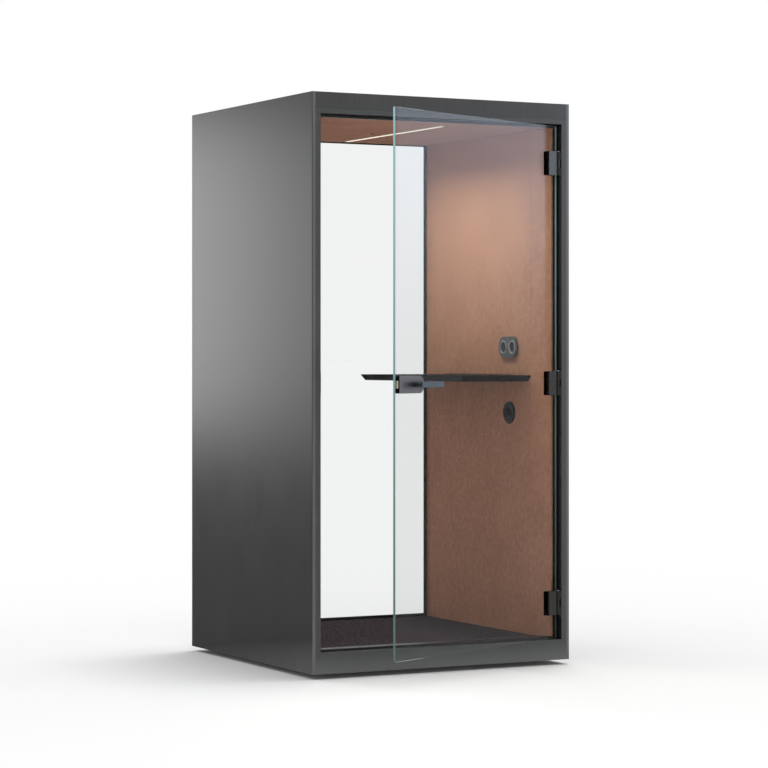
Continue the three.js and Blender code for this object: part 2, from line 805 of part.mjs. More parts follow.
function buildRoofSpace() {
  const half = fanSize / 2;
  const fanTop = ceilingTop + fanDepth;
  const strutTop = ceilingTop + fanStrutHeight;
  const square = rounded(fanX - half, fanX + half, fanY - half, fanY + half, fanCornerRadius);
  const bore = barZ(fanX, fanY, fanBoreRadius, ceilingTop - overcut, fanTop + overcut);
  const struts = [];
  for (let i = 0; i < fanStrutCount; i += 1) {
    const reach = fanBoreRadius + overcut;
    const strut = block(0, reach, -fanStrutWidth / 2, fanStrutWidth / 2, ceilingTop, strutTop);
    struts.push(strut.rotateZ(((i + 0.5) / fanStrutCount) * Math.PI * 2).translate(fanX, fanY, 0));
  }
  const motor = barZ(fanX, fanY, fanHubRadius, ceilingTop, strutTop);
  const hubLow = strutTop + fanRunningGap;
  const hubHigh = hubLow + fanHubHeight;
  const pinTop = hubHigh - fanPinCap;
  const pin = barZ(fanX, fanY, fanPinRadius, strutTop - fanStrutHeight / 2, pinTop - fitGap);
  const screwPlaces = [-1, 1].flatMap((a) => [-1, 1].map((b) => [a, b]));
  const screwHoles = screwPlaces.map(([a, b]) => {
    const apart = half - fanScrewInset;
    const [x, y] = [fanX + a * apart, fanY + b * apart];
    return barZ(x, y, fanScrewRadius, ceilingTop - overcut, fanTop + overcut, smallSteps);
  });
  const ring = cut(prismZ(square, ceilingTop, fanTop), bore, ...screwHoles);
  const housing = join(ring, motor, pin, ...struts);
  addPart(pod, 'fan_housing', 'blackPlastic', housing);

  // Each blade is a flat vane pitched about its own radius, rooted in the hub.
  const blades = [];
  for (let i = 0; i < fanBladeCount; i += 1) {
    const chord = fanBladeChord / 2;
    const thin = fanBladeThickness / 2;
    const blade = block(fanHubRadius - thin, fanBladeRadius, -chord, chord, -thin, thin);
    blade.rotateX(fanBladePitch).rotateZ((i / fanBladeCount) * Math.PI * 2);
    blade.translate(fanX, fanY, (hubLow + hubHigh) / 2);
    blades.push(blade);
  }
  const hub = barZ(fanX, fanY, fanHubRadius, hubLow, hubHigh);
  const pinHole = barZ(fanX, fanY, fanPinRadius + fitGap, hubLow - overcut, pinTop);
  addPart(pod, 'fan_rotor', 'blackPlastic', cut(join(hub, ...blades), pinHole));

  // The supply is a box on a base whose two flanges take its screws.
  const [x0, x1] = [supplyX - supplyLength / 2, supplyX + supplyLength / 2];
  const [y0, y1] = [supplyY - supplyWidth / 2, supplyY + supplyWidth / 2];
  const body = prismX(
    polygon([
      [y0, ceilingTop],
      [y1, ceilingTop],
      [y1, ceilingTop + supplyHeight - supplyCorner],
      [y1 - supplyCorner, ceilingTop + supplyHeight],
      [y0 + supplyCorner, ceilingTop + supplyHeight],
      [y0, ceilingTop + supplyHeight - supplyCorner],
    ]),
    x0,
    x1,
  );
  const baseOutline = rounded(x0 - supplyFlange, x1 + supplyFlange, y0, y1, supplyCorner);
  const base = prismZ(baseOutline, ceilingTop, ceilingTop + supplyFlangeThickness);
  addPart(pod, 'power_supply', 'lockMetal', join(body, base));
}

function buildTable() {
  const overhang = tableThickness - tableNose;
  const slab = block(tableEdge, feltFace, stripEnd, tableBack, tableUnder, tableHeight);

  // The underside of the free and the front edge slopes back at 45 degrees, below a thin upright nose.
  const freeBevel = prismY(
    polygon([
      [tableEdge - overcut, tableUnder - overcut],
      [tableEdge + overhang + overcut, tableUnder - overcut],
      [tableEdge - overcut, tableHeight - tableNose + overcut],
    ]),
    stripEnd - overcut,
    tableBack + overcut,
  );
  const frontBevel = prismX(
    polygon([
      [stripEnd - overcut, tableUnder - overcut],
      [stripEnd + overhang + overcut, tableUnder - overcut],
      [stripEnd - overcut, tableHeight - tableNose + overcut],
    ]),
    tableEdge - overcut,
    feltFace + overcut,
  );
  const rodTip = feltFace - rodLength;
  const holes = rodPlaces.map((y) => barX(y, rodZ, rodRadius + fitGap, rodTip - fitGap, feltFace + overcut));
  addPart(pod, 'table_top', 'blackLaminate', cut(slab, freeBevel, frontBevel, ...holes));

  const rods = rodPlaces.map((y) => barX(y, rodZ, rodRadius, rodTip, feltBack + bracketThickness / 2));
  addPart(pod, 'table_bracket', 'steel', join(bracketBlock(0), ...rods));
}

function buildOutlets() {
  const [y0, y1] = [outletY - socketPlateLength / 2, outletY + socketPlateLength / 2];
  const [z0, z1] = [socketZ - socketPlateHeight / 2, socketZ + socketPlateHeight / 2];
  const plateFace = feltFace - socketPlateThickness;
  const centres = [outletY - socketSpacing / 2, outletY + socketSpacing / 2];
  const plate = prismX(rounded(y0, y1, z0, z1, socketPlateRadius), plateFace, feltFace);
  const holeRadius = socketRadius + fitGap;
  const [h0, h1] = [plateFace - overcut, feltFace + overcut];
  const holes = centres.map((y) => barX(y, socketZ, holeRadius, h0, h1));
  addPart(pod, 'socket_plate', 'greyPlastic', cut(plate, ...holes));

  // Two cups on one carrier, which sits in the wall behind the plate.
  const cupFace = plateFace + socketFaceRecess;
  const carrierFront = feltFace + carrierSetback;
  const carrierBack = carrierFront + carrierThickness;
  const cups = centres.map((y) => barX(y, socketZ, socketRadius, cupFace, carrierBack));
  const recessEnd = cupFace + socketRecessDepth;
  const recesses = centres.map((y) => barX(y, socketZ, socketRecessRadius, cupFace - overcut, recessEnd));
  const carrier = carrierBlock(carrierFront, carrierBack, 0);
  const contacts = centres.flatMap((y) => [-1, 1].map((side) => {
    const place = y + (side * contactSpacing) / 2;
    return barX(place, socketZ, contactRadius, recessEnd - overcut, recessEnd + contactDepth, smallSteps);
  }));
  addPart(pod, 'socket_module', 'greyPlastic', cut(join(carrier, ...cups), ...recesses, ...contacts));

  // The port is a flange with a rounded rim on a sleeve through the felt.
  const rim = portFlangeThickness / 2;
  const port = turned([
    [portBoreRadius, -portSleeveLength],
    [portSleeveRadius, -portSleeveLength],
    [portSleeveRadius, 0],
    [portFlangeRadius, 0],
    [portFlangeRadius, rim],
    [portFlangeRadius - rim, portFlangeThickness],
    [portBoreRadius + rim, portFlangeThickness],
    [portBoreRadius, rim],
    [portBoreRadius, -portSleeveLength],
  ]);
  addPart(pod, 'cable_port', 'blackPlastic', port.rotateY(-Math.PI / 2).translate(feltFace, outletY, portZ));
}

// Hinge leaves and pins stand still. The door group turns about the same axis.
const hingePost = new THREE.Group();
hingePost.position.set(pivotX, pivotY, 0);
const door = new THREE.Group();
door.position.set(pivotX, pivotY, 0);
door.rotation.z = doorOpenAngle;
pod.add(hingePost, door);

// Faces of the pane as the shut door lies, measured from the hinge axis.
const paneFront = paneSetback - pivotSetback;
const paneBack = paneFront + paneThickness;
const paneBottom = sillTop + paneBottomGap;
const paneTop = headReveal - paneTopGap;
const hingeEdge = reveal - paneHingeGap - pivotX;
const freeEdge = -reveal + paneLatchGap - pivotX;
const spindleX = freeEdge + spindleBackset;

function buildHinges() {
  const low = paneBottom + bottomHingeInset;
  const high = paneTop - topHingeInset;
  const levels = { bottom: low, middle: (low + high) / 2, top: high };
  const half = hingeHeight / 2;
  const turning = hingeHeight / knuckleShare / 2;
  const bore = (z) => barZ(0, 0, pinRadius + fitGap, z - hingeHeight, z + hingeHeight);
  for (const [name, z] of Object.entries(levels)) {
    // The leaf lies on the reveal, with one knuckle above and one below the door's own.
    const leafInner = pivotInset - leafThickness;
    const fixed = [block(leafInner, pivotInset, -barrelRadius, leafDepth - barrelRadius, z - half, z + half)];
    for (const [z0, z1] of [[z - half, z - turning], [z + turning, z + half]]) {
      const web = leafWebDepth - barrelRadius;
      fixed.push(barZ(0, 0, barrelRadius, z0, z1));
      fixed.push(block(0, leafInner + leafThickness / 2, -barrelRadius, web, z0, z1));
    }
    addPart(hingePost, `hinge_leaf_${name}`, 'hingeMetal', cut(join(...fixed), bore(z)));
    const pin = turned([
      [0, z - half],
      [pinRadius, z - half],
      [pinRadius, z + half + fitGap],
      [pinHeadRadius, z + half + fitGap],
      [pinHeadRadius, z + half + pinHeadHeight - pinHeadBevel],
      [pinHeadRadius - pinHeadBevel, z + half + pinHeadHeight],
      [0, z + half + pinHeadHeight],
    ]);
    addPart(hingePost, `hinge_pin_${name}`, 'steel', pin);

    // The clamp grips the pane between an outer body, with the knuckle, and an inner plate.
    const near = -barrelRadius - clampNearGap;
    const outerBack = paneFront - fitGap;
    const outerFront = outerBack - clampThickness;
    const knuckleHalf = turning - knuckleGap;
    const gripOutline = rounded(-clampReach, near, outerFront, outerBack, clampEdgeRadius);
    const grip = prismZ(gripOutline, z - half, z + half);
    const [k0, k1] = [z - knuckleHalf, z + knuckleHalf];
    const knuckle = barZ(0, 0, barrelRadius, k0, k1);
    const web = block(near - clampEdgeRadius, 0, outerFront + clampEdgeRadius, barrelRadius, k0, k1);
    addPart(door, `hinge_clamp_${name}`, 'hingeMetal', cut(join(grip, knuckle, web), bore(z)));
    const innerFront = paneBack + fitGap;
    const plate = rounded(-clampReach, near, z - half, z + half, clampEdgeRadius);
    const innerFace = innerFront + clampPlateThickness;
    const inner = prismY(plate, innerFront, innerFace);
    const apart = clampScrewSpacing / 2;
    const screwX = (near - clampReach) / 2;
    const screws = [-apart, apart].flatMap((offset) => screwOnY(screwX, innerFace, z + offset));
    addPart(door, `hinge_plate_${name}`, 'hingeMetal', cut(inner, ...screws));
  }
}

function buildPane() {
  const outline = rounded(freeEdge, hingeEdge, paneBottom, paneTop, paneCornerRadius);
  const pane = prismY(outline, paneFront, paneBack);
  const spindleHole = barY(spindleX, lockHeight, paneHoleRadius, paneFront - overcut, paneBack + overcut);
  addPart(door, 'door_glass', 'glass', cut(pane, spindleHole));
}

// A lever: a round neck on the spindle and a flat bar towards the hinge side.
// It starts at y = root and reaches to one side of the pane, given by its sign.
function lever(root, sign) {
  const end = root + sign * leverReach;
  const barFace = end - sign * leverThickness;
  const [b0, b1] = [barFace, end].sort((a, b) => a - b);
  const [n0, n1] = [root, end - (sign * leverThickness) / 2].sort((a, b) => a - b);
  const half = leverHeight / 2;
  const tip = spindleX + leverLength;
  const radii = [half, leverTipRadius, leverTipRadius, half];
  const bar = prismY(rounded(spindleX - half, tip, lockHeight - half, lockHeight + half, radii), b0, b1);
  const neck = barY(spindleX, lockHeight, neckRadius, n0, n1);
  const [s0, s1] = [root - sign * overcut, root + sign * (spindleGrip + fitGap)].sort((a, b) => a - b);
  return cut(join(bar, neck), squareBar(spindleSize / 2 + fitGap, s0, s1));
}

function squareBar(half, y0, y1) {
  return block(spindleX - half, spindleX + half, y0, y1, lockHeight - half, lockHeight + half);
}

function buildLock() {
  const caseBack = paneFront - fitGap;
  const caseFront = caseBack - caseThickness;
  const [z0, z1] = [lockHeight - caseHeight / 2, lockHeight + caseHeight / 2];
  const radii = [caseEdgeRadius, caseRoundRadius, caseRoundRadius, caseEdgeRadius];
  const shell = prismY(rounded(freeEdge, freeEdge + caseLength, z0, z1, radii), caseFront, caseBack);
  const boltMiddle = (caseFront + caseBack) / 2;
  const guideHalf = boltThickness / 2 + fitGap;
  const guideHeight = boltHeight / 2 + fitGap;
  const boltEnd = freeEdge - boltThrow + boltLength;
  const guide = block(
    freeEdge - overcut,
    boltEnd + boltThrow + fitGap,
    boltMiddle - guideHalf,
    boltMiddle + guideHalf,
    lockHeight - guideHeight,
    lockHeight + guideHeight,
  );
  const spindleHole = barY(spindleX, lockHeight, spindleHoleRadius, caseFront - overcut, caseBack + overcut);
  addPart(door, 'lock_case', 'lockMetal', cut(shell, guide, spindleHole));

  // The nose slopes on the side that meets the frame first as the door shuts.
  const tip = freeEdge - boltThrow;
  const [y0, y1] = [boltMiddle - boltThickness / 2, boltMiddle + boltThickness / 2];
  const bolt = polygon([
    [tip, y0],
    [boltEnd, y0],
    [boltEnd, y1],
    [tip + boltNose, y1],
    [tip, y0 + boltTip],
  ]);
  const boltHalf = boltHeight / 2;
  addPart(door, 'latch_bolt', 'steel', prismZ(bolt, lockHeight - boltHalf, lockHeight + boltHalf));

  const plateFront = paneBack + fitGap;
  const plateBack = plateFront + backPlateThickness;
  const plateX = freeEdge + backPlateInset;
  const plateHalf = backPlateHeight / 2;
  const [p0, p1] = [lockHeight - plateHalf, lockHeight + plateHalf];
  const outline = rounded(plateX, plateX + backPlateLength, p0, p1, backPlateRadius);
  const plate = prismY(outline, plateFront, plateBack);
  const plateHole = barY(spindleX, lockHeight, spindleHoleRadius, plateFront - overcut, plateBack + overcut);
  const screwPlaces = [plateX + plateScrewInset, plateX + backPlateLength - plateScrewInset];
  const screws = screwPlaces.flatMap((x) => screwOnY(x, plateBack, lockHeight));
  addPart(door, 'lock_back_plate', 'lockMetal', cut(plate, plateHole, ...screws));

  const outerRoot = caseFront - fitGap;
  const innerRoot = plateBack + fitGap;
  addPart(door, 'outer_lever', 'leverMetal', lever(outerRoot, -1));
  addPart(door, 'inner_lever', 'leverMetal', lever(innerRoot, 1));
  const spindle = squareBar(spindleSize / 2, outerRoot - spindleGrip, innerRoot + spindleGrip);
  addPart(door, 'lock_spindle', 'steel', spindle);
}

buildShell();
buildFloor();
buildDoorFrame();
buildStrike();
buildRearWall();
buildWalls();
buildCeiling();
buildRoofSpace();
buildTable();
buildOutlets();
buildHinges();
buildPane();
buildLock();

export default pod;
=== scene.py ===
import math
import bpy
import numpy as np
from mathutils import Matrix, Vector


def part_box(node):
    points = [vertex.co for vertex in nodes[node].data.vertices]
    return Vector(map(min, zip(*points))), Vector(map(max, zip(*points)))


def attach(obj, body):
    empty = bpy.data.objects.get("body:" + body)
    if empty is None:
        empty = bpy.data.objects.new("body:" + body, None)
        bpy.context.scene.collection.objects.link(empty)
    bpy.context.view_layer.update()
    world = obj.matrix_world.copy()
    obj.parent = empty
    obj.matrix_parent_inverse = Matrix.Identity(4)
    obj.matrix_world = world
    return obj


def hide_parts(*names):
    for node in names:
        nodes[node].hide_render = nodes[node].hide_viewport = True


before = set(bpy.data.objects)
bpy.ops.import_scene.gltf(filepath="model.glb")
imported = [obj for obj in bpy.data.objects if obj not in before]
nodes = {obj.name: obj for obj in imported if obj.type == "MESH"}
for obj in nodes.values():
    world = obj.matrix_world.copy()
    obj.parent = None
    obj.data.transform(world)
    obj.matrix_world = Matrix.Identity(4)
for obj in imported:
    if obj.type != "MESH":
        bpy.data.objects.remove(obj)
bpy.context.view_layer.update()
mm = 0.001
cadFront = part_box("left_side_panel")[0].y
footZ = 20 * mm  # the body's lower edge above the floor
print("frame loaded:", len(nodes), "nodes")


# Small helpers for shader nodes


def linear(hexColour):  # sRGB hex to linear RGBA
    parts = [int(hexColour[i:i + 2], 16) / 255 for i in (0, 2, 4)]
    return [c / 12.92 if c <= 0.04045 else ((c + 0.055) / 1.055) ** 2.4 for c in parts] + [1.0]


def addNode(tree, kind, settings=None):  # one node; a value that is another node's socket gets a link
    node = tree.nodes.new(kind)
    for key, value in (settings or {}).items():
        if isinstance(value, bpy.types.NodeSocket):
            tree.links.new(value, node.inputs[key])
        elif isinstance(key, str) and hasattr(node, key):
            setattr(node, key, value)
        else:
            node.inputs[key].default_value = value
    return node


def emptyTree(block):  # switches a material or a world to nodes and hands back its empty tree
    block.use_nodes = True
    block.node_tree.nodes.clear()
    return block.node_tree


def startMaterial(name):
    material = bpy.data.materials.new(name)
    tree = emptyTree(material)
    coords = addNode(tree, "ShaderNodeTexCoord").outputs
    return material, tree, coords


def endMaterial(tree, settings):  # the Principled shader that everything before feeds
    shader = addNode(tree, "ShaderNodeBsdfPrincipled", settings)
    addNode(tree, "ShaderNodeOutputMaterial", {"Surface": shader.outputs[0]})


def noise(tree, vector, size, **more):  # size is that of a cell, in the vector's own unit
    return addNode(tree, "ShaderNodeTexNoise", {"Vector": vector, "Scale": 1 / size, **more}).outputs[0]


def stretched(tree, place, sizesMm):  # coordinates in which a cell of the given size measures 1
    scale = [1 / (size * mm) for size in sizesMm]
    return addNode(tree, "ShaderNodeMapping", {0: place, "Scale": scale}).outputs[0]


def separate(tree, place):
    return addNode(tree, "ShaderNodeSeparateXYZ", {0: place}).outputs


def reckon(tree, operation, *terms):  # arithmetic on numbers and sockets
    return addNode(tree, "ShaderNodeMath", {"operation": operation, **dict(enumerate(terms))}).outputs[0]


def ranged(tree, value, low, high, atLow=0.0, atHigh=1.0):
    settings = {"Value": value, "From Min": low, "From Max": high, "To Min": atLow, "To Max": atHigh}
    return addNode(tree, "ShaderNodeMapRange", settings).outputs[0]


# From one colour to another, each a hex value or a socket. Inputs 6 and 7 and output 2 are the colour ones.
def mixed(tree, share, first, second):
    first, second = [linear(c) if isinstance(c, str) else c for c in (first, second)]
    return addNode(tree, "ShaderNodeMix", {"data_type": "RGBA", 0: share, 6: first, 7: second}).outputs[2]


def scaled(tree, colour, gain):
    return addNode(tree, "ShaderNodeVectorMath", {"operation": "SCALE", 0: colour, "Scale": gain}).outputs[0]


def bump(tree, height, strength, distance):
    settings = {"Strength": strength, "Distance": distance, "Height": height}
    return addNode(tree, "ShaderNodeBump", settings).outputs[0]


# Small helpers for meshes


def makeMesh(name, points, faces, material, smooth=True):
    mesh = bpy.data.meshes.new(name)
    mesh.from_pydata(points.reshape(-1, 3).tolist(), [], [list(map(int, f)) for f in faces])
    mesh.materials.append(material)
    mesh.polygons.foreach_set("use_smooth", np.full(len(mesh.polygons), smooth))
    mesh.update()
    piece = bpy.data.objects.new(name, mesh)
    bpy.context.scene.collection.objects.link(piece)
    return piece


# A slab between two grids of points: a quad for every kept cell in front and behind,
# and a wall along each side of a kept cell that borders a dropped one or the outside.
def slab(name, front, back, keep, material):
    rows, columns = front.shape[:2]
    index = np.arange(rows * columns).reshape(rows, columns)
    a, b, c, d = index[:-1, :-1], index[1:, :-1], index[1:, 1:], index[:-1, 1:]
    behind = rows * columns
    framed = np.pad(keep, 1)
    faces = [np.stack([a, b, c, d], -1)[keep], np.stack([d, c, b, a], -1)[keep] + behind]
    sides = [(framed[1:-1, :-2], a, b), (framed[2:, 1:-1], b, c),
             (framed[1:-1, 2:], c, d), (framed[:-2, 1:-1], d, a)]
    for neighbour, p, q in sides:
        rim = keep & ~neighbour
        faces.append(np.stack([q[rim], p[rim], p[rim] + behind, q[rim] + behind], -1))
    faces = np.concatenate(faces)
    points = np.concatenate([front.reshape(-1, 3), back.reshape(-1, 3)])
    used, packed = np.unique(faces, return_inverse=True)
    points, faces = points[used], packed.reshape(faces.shape)
    p, q, r, s = [points[faces[:, i]] for i in range(4)]
    volume = np.einsum("ij,ij->i", p, np.cross(q, r) + np.cross(r, s)).sum()
    if volume < 0:
        faces = faces[:, ::-1]
    return makeMesh(name, points, faces, material)


# A profile of (radius, height) in millimetres, turned about an axis:
# point = centre + r cos(t) e1 + r sin(t) e2 + h axis.
def turned(centre, axis, profile, steps):
    axis = Vector(axis).normalized()
    first = axis.orthogonal().normalized()
    second = axis.cross(first)
    angle = np.linspace(0, 2 * math.pi, steps, endpoint=False)
    radius, height = np.array(profile, float).T * mm
    ring = np.cos(angle)[:, None] * np.array(first) + np.sin(angle)[:, None] * np.array(second)
    points = np.array(centre) + radius[:, None, None] * ring + height[:, None, None] * np.array(axis)
    index = np.arange(len(profile) * steps).reshape(len(profile), steps)
    after = np.roll(index, -1, axis=1)
    faces = np.stack([index[:-1], after[:-1], after[1:], index[1:]], -1).reshape(-1, 4)
    return points.reshape(-1, 3), faces


# Rings of points joined one after the other, round each ring, with flat ends.
def sweep(name, rings, material):
    count, around = rings.shape[:2]
    index = np.arange(count * around).reshape(count, around)
    after = np.roll(index, -1, axis=1)
    faces = np.stack([index[:-1], after[:-1], after[1:], index[1:]], -1).reshape(-1, 4).tolist()
    faces += [index[0, ::-1].tolist(), index[-1].tolist()]
    return makeMesh(name, rings, faces, material, smooth=False)


# Grid lines between two ends, close together over a rounded edge and about a cell apart elsewhere.
def gridLines(low, high, cell, edge, through=()):
    bendLines = 5
    decimals = 7
    bend = edge * (1 - np.cos(np.linspace(0, math.pi / 2, bendLines)))
    stops = np.unique([low + edge, high - edge, *[t for t in through if low < t < high]])
    spans = []
    for p, q in zip(stops[:-1], stops[1:]):
        spans.append(np.linspace(p, q, max(2, int(round((q - p) / cell)) + 1)))
    lines = np.concatenate([low + bend, *spans, high - bend])
    return np.unique(np.round(lines, decimals))


# How far a rounded edge falls back at a distance d from the rim: r - sqrt(r^2 - (r - d)^2).
def fallBack(distance, radius):
    short = np.clip(radius - distance, 0, radius)
    return radius - np.sqrt(radius ** 2 - short ** 2)


# Materials, each named for the real one


# Painted highlight: a panel's front edge is paler, standing in for the light that its rounded edge catches.
# Painted floor light: the foot of its face is paler, most near the front.
def panelPaintedLight(tree, place, tone, edge):
    axes = separate(tree, place)
    rim = ranged(tree, axes["Y"], edge["front"], edge["front"] + edge["wide"], 1.0, 0.0)
    slope = reckon(tree, "MULTIPLY_ADD", axes["Y"], edge["lean"], axes["Z"])
    start = footZ + edge["lean"] * edge["front"]
    foot = ranged(tree, slope, start, start + edge["fade"], edge["gain"], 1.0)
    return mixed(tree, rim, scaled(tree, tone, foot), edge["colour"])


# One net that most hard finishes share: noise mixes two tones, shifts the gloss and lifts the surface.
def grainFinish(name, finish):
    net = {"cloud": 180 * mm, "cloudShare": 0.45, "range": (0.45, 1.0), "liftMm": 0.2, "ior": 1.5}
    material, tree, coords = startMaterial(name)
    place = coords["Object"]
    fine = noise(tree, stretched(tree, place, finish["grainMm"]), 1.0, Detail=3.0, Roughness=0.6)
    cloud = noise(tree, place, net["cloud"])
    both = reckon(tree, "MULTIPLY_ADD", cloud, net["cloudShare"], fine)
    share = ranged(tree, both, *net["range"])
    tone = mixed(tree, share, finish["dark"], finish["light"])
    # an "edge" entry adds a painted highlight on the front edge and painted floor light at the foot
    if "edge" in finish:
        tone = panelPaintedLight(tree, place, tone, finish["edge"])
    gloss = ranged(tree, share, 0.0, 1.0, *finish["rough"])
    lift = bump(tree, fine, finish["bump"], finish.get("liftMm", net["liftMm"]) * mm)
    settings = {"Metallic": finish.get("metallic", 0.0), "IOR": net["ior"], **finish.get("sockets", {})}
    endMaterial(tree, {**settings, "Base Color": tone, "Roughness": gloss, "Normal": lift})
    return material


# Metallic powder coat on sheet steel: upright drag marks, satin, so lamps spread into long soft gradients.
coatTint = (0.4, 0.4, 0.4, 1)  # holds back the shine at grazing angles
graphite = {"dark": "474747", "light": "4f4f4f", "metallic": 1.0, "rough": (0.38, 0.45),
            "grainMm": (5, 5, 260), "bump": 0.04, "sockets": {"Specular Tint": coatTint}}
# painted highlight colour for the panels' front edge, and the painted floor light at their foot
paintedEdgeAndFloorLight = {"colour": "676869", "front": cadFront, "wide": 1.5 * mm, "lean": 0.12, "fade": 140 * mm,
             "gain": 2.6}
fasciaPaint = grainFinish("metallic_powder_coat_graphite", graphite)
panelPaint = grainFinish("metallic_powder_coat_graphite_painted_light", {**graphite, "edge": paintedEdgeAndFloorLight})

# Matt black powder coat: almost no gloss, a faint orange peel.
blackPaint = grainFinish("powder_coat_matt_black", {
    "dark": "17191b", "light": "202326", "rough": (0.45, 0.6), "grainMm": (3, 3, 3), "bump": 0.12})

# EPDM rubber, extruded: dull and very dark, with a dusty bloom.
rubber = grainFinish("epdm_rubber_black", {
    "dark": "0c0d0e", "light": "17181a", "rough": (0.65, 0.85), "grainMm": (6, 6, 6), "bump": 0.2})

# Die-cast zinc with satin plating: dark on the hinges, grey on the lock, bluish on the levers.
dieCast = {"metallic": 1.0, "bump": 0.05}
hingeMetal = grainFinish("die_cast_zinc_dark_satin", {
    **dieCast, "dark": "2a2928", "light": "373635", "rough": (0.22, 0.3), "grainMm": (2, 2, 18)})
lockMetal = grainFinish("die_cast_zinc_grey_satin", {
    **dieCast, "dark": "605e62", "light": "6a686c", "rough": (0.3, 0.4), "grainMm": (12, 12, 1.5)})
leverMetal = grainFinish("die_cast_zinc_blue_grey_satin", {
    **dieCast, "dark": "4e565c", "light": "586067", "rough": (0.28, 0.36), "grainMm": (18, 18, 1.5)})

# Brushed steel, and a sintered bolt with a warm bronze cast.
steel = grainFinish("stainless_steel_brushed", {
    "dark": "8f9091", "light": "b4b5b5", "metallic": 1.0, "rough": (0.26, 0.4),
    "grainMm": (0.8, 0.8, 30), "bump": 0.08})
boltMetal = grainFinish("sintered_bronze_bolt", {
    "dark": "a89c84", "light": "d0c3a9", "metallic": 1.0, "rough": (0.35, 0.5),
    "grainMm": (2, 2, 2), "bump": 0.1})

# Anodised aluminium, drawn along its length.
drawn = {"metallic": 1.0, "grainMm": (60, 1.2, 1.2), "bump": 0.06}
aluminium = grainFinish("anodised_aluminium_drawn", {
    **drawn, "dark": "85878a", "light": "a2a4a6", "rough": (0.3, 0.42)})
thresholdMetal = grainFinish("anodised_aluminium_grey", {
    **drawn, "dark": "2f3132", "light": "3b3d3e", "rough": (0.4, 0.5)})

# High-pressure laminate on the table: soft-touch black with hardly any gloss.
laminate = grainFinish("high_pressure_laminate_black", {
    "dark": "0a0a0b", "light": "101012", "rough": (0.45, 0.55), "grainMm": (1.5, 1.5, 1.5), "bump": 0.1,
    "sockets": {"Specular IOR Level": 0.03}})

# ABS, moulded with a spark-eroded grain.
moulded = {"rough": (0.42, 0.55), "grainMm": (1.2, 1.2, 1.2), "bump": 0.15}
greyPlastic = grainFinish("abs_moulded_grey", {**moulded, "dark": "383d42", "light": "464b50"})
outletPlastic = grainFinish("abs_moulded_mid_grey", {**moulded, "dark": "5c5e60", "light": "6a6c6e"})
ringPlastic = grainFinish("abs_moulded_light_grey", {
    **moulded, "dark": "92958f", "light": "a6a9a4", "rough": (0.3, 0.4), "bump": 0.05})
brownPlastic = grainFinish("abs_moulded_brown", {
    **moulded, "dark": "6b4a3c", "light": "785546", "rough": (0.5, 0.6), "bump": 0.1})
blackPlastic = grainFinish("abs_moulded_black", {
    **moulded, "dark": "060707", "light": "0c0d0e", "rough": (0.4, 0.5), "bump": 0.12,
    "sockets": {"Specular IOR Level": 0.06}})

# Board under the carpet, film faced.
deckBoard = grainFinish("film_faced_plywood", {
    "dark": "2b2622", "light": "453b33", "rough": (0.5, 0.65), "grainMm": (60, 4, 4), "bump": 0.15})

# Mineral wool board: loose mineral fibres in layers.
woolCore = grainFinish("mineral_wool_board", {
    "dark": "7f765f", "light": "a89d82", "rough": (0.9, 1.0), "grainMm": (4, 12, 12), "bump": 0.8,
    "liftMm": 2})


# Powder coat on the frame's face, with painted floor light that makes it paler downwards; in the rebate the
# profile is painted near-black and not metallic, as painted shade.
def makeFramePaint(name, faceY):
    paint = {"coat": ("4a4b4b", "545555"), "rebateShade": ("191919", "252423"), "grainMm": (5, 5, 250),
             "rebate": 1.0 * mm, "fade": 70 * mm, "gain": 1.7}
    material, tree, coords = startMaterial(name)
    place = coords["Object"]
    axes = separate(tree, place)
    # the rebate, where painted shade replaces the coat
    inside = reckon(tree, "GREATER_THAN", axes["Y"], faceY + paint["rebate"])
    fine = noise(tree, stretched(tree, place, paint["grainMm"]), 1.0, Detail=3.0)
    # painted floor light: paler towards the foot
    low = ranged(tree, axes["Z"], footZ, footZ + paint["fade"], paint["gain"], 1.0)
    face = scaled(tree, mixed(tree, fine, *paint["coat"]), low)
    tone = mixed(tree, inside, face, mixed(tree, fine, *paint["rebateShade"]))
    metal = reckon(tree, "SUBTRACT", 1.0, inside)
    endMaterial(tree, {"Roughness": 0.42, "Specular Tint": coatTint, "Base Color": tone, "Metallic": metal})
    return material


framePaint = makeFramePaint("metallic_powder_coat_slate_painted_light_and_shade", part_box("door_frame_left")[0].y)


# Float glass, toughened: clear through its faces, with ground edges, grey-green below and paler upwards, the
# pale blue top a painted reflection of the light above.
def makeGlass(name, faceNormal, clear):
    glass = {"foot": ("4c605b", "586c67"), "top": "92b4ba", "rise": (0.1, 2.1), "grain": 4 * mm,
             "facing": 0.9, "ior": 1.15}
    material, tree, coords = startMaterial(name)
    settings = {"operation": "DOT_PRODUCT", 0: coords["Normal"], 1: faceNormal}
    facing = addNode(tree, "ShaderNodeVectorMath", settings).outputs["Value"]
    flat = reckon(tree, "GREATER_THAN", reckon(tree, "ABSOLUTE", facing), glass["facing"])
    height = separate(tree, coords["Object"])["Z"]
    foot = mixed(tree, noise(tree, coords["Object"], glass["grain"]), *glass["foot"])
    # painted reflection: the edge tone rises to pale blue upwards
    ground = mixed(tree, ranged(tree, height, *glass["rise"]), foot, glass["top"])
    tone = mixed(tree, flat, ground, clear)
    endMaterial(tree, {"Roughness": 0.0, "IOR": glass["ior"], "Specular Tint": (0.5, 0.5, 0.5, 1),
                       "Base Color": tone, "Transmission Weight": flat})
    return material


doorAngle = math.radians(24.8)  # how far the door stands open at rest
doorAlong = Vector((math.cos(doorAngle), math.sin(doorAngle), 0))  # from the free edge to the hinges
doorOut = Vector((math.sin(doorAngle), -math.cos(doorAngle), 0))
doorGlass = makeGlass("toughened_float_glass_door", doorOut, "eff0f0")
nodes["door_glass"].visible_shadow = False  # clear glass lets the light through to the floor
rearGlass = makeGlass("toughened_float_glass_rear", (0, 1, 0), "f1f2f2")


